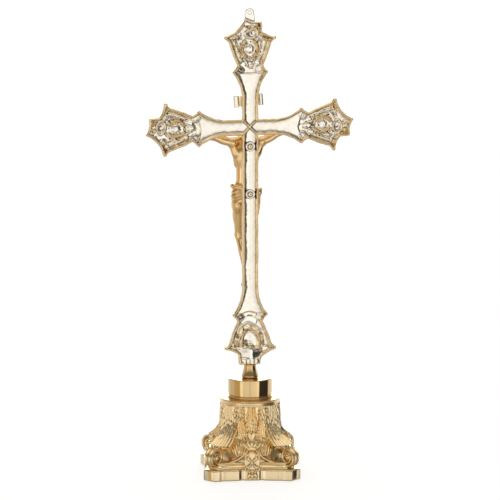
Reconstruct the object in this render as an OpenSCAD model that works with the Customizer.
// Altar cross: a hollow-backed brass crucifix that stands on an inverted Corinthian capital.
// Millimetres. +Z is up, the origin is on the table under the cross's axis, the arms run along X,
// and the figure faces -Y.

/* [Cross] */
// Height of the centre of the crossing above the table
crossing_z = 284.5; // [270:0.5:300]
// Half of the arms' plain width
arm_half = 6.6; // [6:0.1:7]
// Thickness of the casting from front to back
cast_t = 5.6; // [5:0.1:6.4]
// Front wall left under the hollow back
front_wall = 2; // [1.6:0.1:2.4]
// How far the top end stands out beyond the side ends
top_extra = 2; // [0:0.5:4]
// How far the bottom end stands out beyond the side ends
bottom_extra = 111; // [105:0.5:112]
// Radius of the hanging tab
tab_r = 3.6; // [3.2:0.1:4]
// Radius of the hole in the hanging tab
tab_hole_r = 1.2; // [1:0.1:1.4]

/* [Figure] */
// Distance of each hand's nail from the axis
hand_x = 50; // [47:0.5:52]
// Height of the upper stud above the table
upper_stud_z = 268.6; // [266:0.2:270]
// Height of the lower stud above the table
lower_stud_z = 229.6; // [228:0.2:231]

/* [Base] */
// Turn of the base under the cross, in degrees
base_turn = -11.8; // [-45:0.1:45]
// Half of the foot slab's side
foot_half = 39.3; // [38:0.1:41]
// Thickness of the foot slab
foot_t = 9; // [8:0.2:10]
// Height of the capital's upper lip
lip_z = 63.1; // [62:0.1:64]
// Radius of the capital's upper lip
lip_r = 26; // [25:0.1:27]
// Radius of the capital's bell
bell_r = 22; // [21:0.2:23]
// Radius of the drum
drum_r = 17.9; // [16:0.1:19]
// Height of the drum
drum_h = 15.7; // [15:0.1:16]

/* [Hidden] */
$fn = 48;

brass_pale = "#efe3c2";
brass_deep = "#c98f3c";
brass_warm = "#d8b257";
steel = "#b9bbb8";

front_y = -cast_t / 2;
back_y = cast_t / 2;
floor_y = front_y + front_wall;
drum_z = lip_z + drum_h;
neck_h = 11;
neck_top = drum_z + neck_h;
rod_r = 2;
rod_hole_r = 2.3;
rod_up = 16;
roof_z = 53;
washer_t = 1.2;
nut_t = 3.6;
nut_across = 7;
stud_r = 1.7;
ring_r = 4;
ring_t = 2.6;
nail_r = 0.7;
nail_head_r = 1.7;
titulus_z = 305.7;
foot_nail_z = 160;
joint_swell = 1.07;

// ---------- helpers ----------

// Points along a circular arc from p to q that bulges by h to the left of the way from p to q.
function arc_points(p, q, h, n = 5) =
    let (d = q - p, l = norm(d), left = [-d[1], d[0]] / l)
    abs(h) < 0.01 ? [p] :
    let (r = (l * l / 4 + h * h) / (2 * h), centre = (p + q) / 2 + left * (h - r),
         a0 = atan2(p[1] - centre[1], p[0] - centre[0]),
         a1 = atan2(q[1] - centre[1], q[0] - centre[0]),
         turn = a1 - a0 > 180 ? a1 - a0 - 360 : a1 - a0 < -180 ? a1 - a0 + 360 : a1 - a0)
    [for (i = [0:n - 1]) centre + abs(r) * [cos(a0 + turn * i / n), sin(a0 + turn * i / n)]];

// A chain of arcs: each key is [point, bulge on the way to the next point].
function arc_chain(keys) = [for (i = [0:len(keys) - 2])
    each arc_points(keys[i][0], keys[i + 1][0], keys[i][1])];

function ellipse_points(c, a, b, n = 36) =
    [for (i = [0:n - 1]) c + [a * cos(360 * i / n), b * sin(360 * i / n)]];

// Draws its 2-D child, which lies in X and Z, as a slab from y0 to y1.
module slab_y(y0, y1) translate([0, y1, 0]) rotate([90, 0, 0]) linear_extrude(y1 - y0) children();

// A tapered rod from p to q.
module rod(p, q, r0, r1) {
    d = q - p;
    translate(p) rotate([0, acos(d[2] / norm(d)), atan2(d[1], d[0])]) cylinder(norm(d), r0, r1);
}

// A limb: tapered rods from point to point with a slightly larger ball at each joint.
module limb(points, radii) {
    for (i = [0:len(points) - 1]) translate(points[i]) sphere(radii[i] * joint_swell);
    for (i = [0:len(points) - 2]) rod(points[i], points[i + 1], radii[i], radii[i + 1]);
}

// A cylinder along +Y from y0 to y1.
module pin_y(x, z, r, y0, y1) translate([x, y0, z]) rotate([-90, 0, 0]) cylinder(y1 - y0, r = r);

// ---------- cross ----------

// One flared end: u runs out along the arm, v across it. The lobe is on the +v side.
end_keys = [
    [[18, arm_half], -2], [[40.8, 13.3], 0], [[42.4, 14.9], 0.2], [[44.2, 13.7], -0.3], [[48.3, 10.8], 0.4],
    [[66.6, 17.6], -0.3], [[69, 20.8], 0.6], [[71.4, 21], -1.2], [[76, 9.8], 0.3], [[83.8, 9.4], 0],
    [[83.6, 3], -0.4], [[87, -4.4], -3], [[72.3, -20.8], 0.6], [[69.8, -21.2], -0.3], [[66.6, -17.8], 0.4],
    [[48.3, -10.6], -0.3], [[44.2, -13.7], 0.2], [[42.4, -14.9], 0], [[40.8, -13.3], -2],
    [[18, -arm_half], 0]];

// [angle of the arm, how far its end is moved out]
ends = [[0, 0], [-90, bottom_extra], [180, 0], [90, top_extra]];

// One arm of the cross, turned by a, with its end moved out by extra.
module arm_shape(a, extra) rotate(a) polygon(concat([[-arm_half, -arm_half], [-arm_half, arm_half]],
    [for (p = arc_chain(end_keys)) [p[0] + extra, p[1]]], [[18 + extra, -arm_half]]));

module cross_outline() for (e = ends) arm_shape(e[0], e[1]);

// The hollow of one arm: a channel that widens into the shell-shaped end.
module arm_hollow(a, extra) rotate(a) polygon(concat(
    [[-4.5, -4.5], [-4.5, 4.5]],
    [for (p = [[20, 4.5], [32, 6], [41, 9.6], [44.5, 9], [48, 7.6], [56, 10.5], [66, 13.2], [69, 14],
        [73, 8.5], [80, 7], [80.5, 0], [80, -4], [75, -7], [69, -14], [66, -13.2], [56, -10.5],
        [48, -7.6], [44.5, -9], [41, -9.6], [32, -6], [20, -4.5]]) [p[0] + extra, p[1]]]));

module medallion(a, extra, grow) rotate(a) polygon(ellipse_points([61 + extra, 0], 8.5 + grow, 6.5 + grow));

module cross_back_relief() for (e = ends) slab_y(floor_y - 0.3, floor_y + 1.6) difference() {
    medallion(e[0], e[1], 1.4);
    medallion(e[0], e[1], 0);
}

module hanging_tab() difference() {
    slab_y(front_y, front_y + 1.8) {
        translate([0, 92.7]) circle(tab_r);
        polygon([[-tab_r, 92.7], [tab_r, 92.7], [5.4, 83], [-5.4, 83]]);
    }
    pin_y(0, 92.7, tab_hole_r, front_y - 1, front_y + 3);
}

module cross_ribs() for (a = [45:90:315]) rotate([0, a, 0]) translate([1.2, floor_y - 0.3, -0.7])
    cube([6.4, 2.9, 1.4]);

module cross() color(brass_pale) difference() {
    union() {
        translate([0, 0, crossing_z]) {
            difference() {
                slab_y(front_y, back_y) cross_outline();
                slab_y(floor_y, back_y + 1) for (e = ends) arm_hollow(e[0], e[1]);
            }
            intersection() {
                slab_y(front_y - 1.2, front_y + 0.3) for (e = ends) medallion(e[0], e[1], -0.6);
                slab_y(front_y - 3, back_y) cross_outline();
            }
            cross_back_relief();
            cross_ribs();
            hanging_tab();
        }
        // the threaded lug that stands on the neck
        translate([0, 0, neck_top - 2]) cylinder(rod_up + 4, r = 4.4);
    }
    translate([-50, -50, neck_top - 50]) cube([100, 100, 50]);
    translate([0, 0, neck_top - 1]) cylinder(rod_up + 1, r = rod_r);
    for (z = [upper_stud_z, lower_stud_z]) pin_y(0, z, stud_r + 0.1, front_y - 1, back_y);
    for (x = [-hand_x, hand_x]) pin_y(x, crossing_z, nail_r, front_y - 1, floor_y + 1);
    pin_y(0, foot_nail_z, nail_r, front_y - 1, floor_y + 1);
    pin_y(0, titulus_z, nail_r, front_y - 1, floor_y + 1);
}

// ---------- titulus ----------

titulus_half = 10.2;
titulus_h = 9.5;
titulus_roll_r = 2;

module titulus_profile() difference() {
    union() {
        translate([-titulus_half, front_y - 1.9]) square([2 * titulus_half, 1.1]);
        for (s = [-1, 1]) translate([s * titulus_half, front_y - 1.35 - titulus_roll_r / 2])
            circle(titulus_roll_r);
    }
    for (s = [-1, 1]) translate([s * titulus_half, front_y - 1.35 - titulus_roll_r / 2]) circle(0.8);
}

module titulus() color(brass_pale) difference() {
    union() {
        translate([0, 0, titulus_z]) rotate([0, -4, 0]) translate([0, 0, -titulus_h / 2])
            linear_extrude(titulus_h) titulus_profile();
        pin_y(0, titulus_z, 2, front_y - 1.2, front_y);
    }
    pin_y(0, titulus_z, nail_r, front_y - 10, front_y + 1);
}

module titulus_pin() color(brass_deep) {
    pin_y(0, titulus_z, nail_r, front_y - 2.5, floor_y);
    pin_y(0, titulus_z, 1.3, front_y - 2.5, front_y - 1.9);
}

// ---------- figure ----------

head_c = [-3, -15, 288];
neck_c = [-1, -12, 275];
hip_c = [1, -13.5, 229];

module arm_of_figure(s) limb(
    [[s * 9.3 - 1, -10.4, 269.4], [s * 29, -9.2, 273.8], [s * 44, -6.7, 281.2],
        [s * (hand_x + 1.2), -4.6, crossing_z + 0.4]],
    [4, 2.9, 1.9, 2.3]);

module leg_of_figure(s) limb(
    [hip_c + [s * 4.6, 0.3, -3], [s * 4.1 - 0.5, -20.6, 193], [s * 2.3 - 0.5, -8.4 + s * 0.7, 163.5],
        [0.5 + s * 1.2, -10.8 + s * 0.5, 154.6]],
    [6, 3.9, 2.3, 2]);

module figure_body() {
    limb([head_c, neck_c], [7.3, 3.7]);
    limb([[0, -11.6, 264.6], [0.6, -13.2, 245], hip_c], [9.4, 7.4, 9.1]);
    // the loincloth's knot on the right hip
    limb([[-10.2, -10.4, 229.3], [-7.6, -12, 213]], [3.4, 2.6]);
    // the back is drawn against the upright at the two studs
    pin_y(0, upper_stud_z, 4.3, -12, front_y);
    pin_y(0, lower_stud_z, 5.2, -12, front_y);
    pin_y(0, foot_nail_z, 2.6, -10, front_y);
    for (s = [-1, 1]) {
        arm_of_figure(s);
        leg_of_figure(s);
    }
}

module corpus() color(brass_deep) difference() {
    figure_body();
    translate([-80, front_y, 100]) cube([160, 40, 250]);
}

// ---------- nails, studs and ring nuts ----------

module nail(x, z, head_y) color(brass_warm) {
    pin_y(x, z, nail_r, head_y, floor_y);
    pin_y(x, z, nail_head_r, head_y - 0.8, head_y);
}

module left_hand_nail() nail(hand_x, crossing_z, -8.2);
module right_hand_nail() nail(-hand_x, crossing_z, -8.2);
module foot_nail() nail(0, foot_nail_z, -12.2);

module corpus_stud(z) color(steel) pin_y(0, z, stud_r, -10, floor_y + 1.5);
module upper_corpus_stud() corpus_stud(upper_stud_z);
module lower_corpus_stud() corpus_stud(lower_stud_z);

// A round nut with a wide countersink that leaves its rim as a pale ring.
module ring_nut(z) color(brass_pale) difference() {
    pin_y(0, z, ring_r, floor_y, floor_y + ring_t);
    pin_y(0, z, stud_r, floor_y - 1, floor_y + ring_t + 1);
    pin_y(0, z, 2.8, floor_y + 1.1, floor_y + ring_t + 1);
}
module upper_ring_nut() ring_nut(upper_stud_z);
module lower_ring_nut() ring_nut(lower_stud_z);

// ---------- neck, drum and tie rod ----------

module neck() color(brass_warm) rotate_extrude($fn = 96) polygon(concat(
    [[rod_r + 0.1, drum_z]],
    arc_points([6, drum_z], [6.9, drum_z + 1.8], -0.35),
    arc_points([6.9, drum_z + 1.8], [4.85, neck_top - 1], 0.3),
    [[4.85, neck_top - 1], [5.1, neck_top - 0.8], [5.1, neck_top], [rod_r + 0.1, neck_top]]));

module drum() color(brass_warm) rotate_extrude($fn = 96) polygon([
    [rod_hole_r, drum_z - 2.4], [rod_hole_r, drum_z], [drum_r - 0.6, drum_z], [drum_r, drum_z - 0.6],
    [drum_r, lip_z + 1.6], [drum_r + 0.5, lip_z + 1], [drum_r + 0.5, lip_z], [drum_r - 2.5, lip_z],
    [drum_r - 2.5, drum_z - 2.4]]);

module tie_rod() color(steel) translate([0, 0, roof_z - washer_t - nut_t - 4])
    cylinder(neck_top + rod_up - 0.5 - (roof_z - washer_t - nut_t - 4), r = rod_r);

module base_washer() color(steel) translate([0, 0, roof_z - washer_t]) difference() {
    cylinder(washer_t, r = 7);
    translate([0, 0, -1]) cylinder(washer_t + 2, r = rod_hole_r);
}

module base_nut() color(steel) translate([0, 0, roof_z - washer_t - nut_t]) difference() {
    cylinder(nut_t, r = nut_across / 2 / cos(30), $fn = 6);
    translate([0, 0, -1]) cylinder(nut_t + 2, r = rod_r);
}

// ---------- capital ----------

// A square of half-side h with cut corners and sides that curve in by dip.
function slab_points(h, cut, dip) = [for (a = [0:90:270])
    let (p = [h, -(h - cut)], q = [h, h - cut], r = [[cos(a), sin(a)], [-sin(a), cos(a)]])
    each [for (s = arc_points(p, q, dip, 12)) s[0] * r[0] + s[1] * r[1], q[0] * r[0] + q[1] * r[1]]];

module slab(z, h, t, cut, dip) translate([0, 0, z]) linear_extrude(t) polygon(slab_points(h, cut, dip));

// A leaf on the bell: its side profile, from the root at the top to the curled tip, and its width.
// The profile bulges outwards by bulge between the root and the tip.
module leaf(width, root_z, reach, tip_z, bulge) rotate([90, 0, 0]) translate([0, 0, -width / 2])
    linear_extrude(width) {
        polygon(concat([[bell_r - 1.5, root_z]],
            arc_points([bell_r + 3, root_z], [reach, tip_z], bulge, 8),
            [[reach, tip_z], [reach - 1.5, tip_z - 1.5]],
            arc_points([reach - 3, tip_z + 1], [bell_r - 1.5, tip_z + 7], 0.8, 4),
            [[bell_r - 1.5, tip_z + 7]]));
        translate([reach - 1.8, tip_z]) circle(2.4);
    }

// Corner volute: a scroll whose axis is level and square to the corner's diagonal.
module corner_volute() translate([42.6, 0, 18.6]) rotate([90, 0, 0]) {
    difference() {
        translate([0, 0, -4]) cylinder(8, r = 6.8);
        for (s = [-5, 3.2]) translate([0, 0, s]) difference() {
            cylinder(1.8, r = 5);
            cylinder(1.8, r = 2.4);
        }
    }
    translate([-18, -4.5, -4.4]) cube([14, 9, 8]);
}

module fleuron() {
    translate([bell_r - 3, -6.5, 1]) cube([14.2, 13, 21]);
    translate([bell_r + 6, 0, 22]) rotate([0, 90, 0]) cylinder(5.5, r = 6);
}

module bell() rotate_extrude($fn = 96) polygon(concat(
    [[0, foot_t], [30, foot_t]],
    arc_points([30, foot_t + 4], [bell_r, 34], -2.6),
    [[bell_r, 34], [bell_r, 58.4], [lip_r - 1.6, 58.4], [lip_r - 1.6, 59.8]],
    arc_points([lip_r - 1.6, 59.8], [lip_r, lip_z - 0.5], -0.7),
    [[lip_r, lip_z - 0.5], [lip_r, lip_z], [0, lip_z]]));

module capital_base() color(brass_warm) rotate(base_turn) difference() {
    union() {
        slab(0, foot_half, foot_t, 8, 4);
        slab(foot_t, 33.6, 2.4, 6, 3.4);
        slab(foot_t + 2.4, 31.6, 2.1, 6, 3.2);
        bell();
        for (a = [0:90:270]) rotate(a) {
            fleuron();
            for (b = [-22.5, 22.5]) rotate(b) leaf(11, 46, 31, 23, 2.4);
            rotate(45) {
                leaf(13, 58, 39.5, 27.5, -4.5);
                corner_volute();
            }
        }
    }
    rotate_extrude($fn = 96) polygon([[0, -1], [26, -1], [26, 6], [bell_r - 3.6, 30],
        [bell_r - 3.6, roof_z], [0, roof_z]]);
    cylinder(100, r = rod_hole_r);
}

capital_base();
drum();
neck();
tie_rod();
base_washer();
base_nut();
cross();
titulus();
titulus_pin();
corpus();
left_hand_nail();
right_hand_nail();
foot_nail();
upper_corpus_stud();
lower_corpus_stud();
upper_ring_nut();
lower_ring_nut();
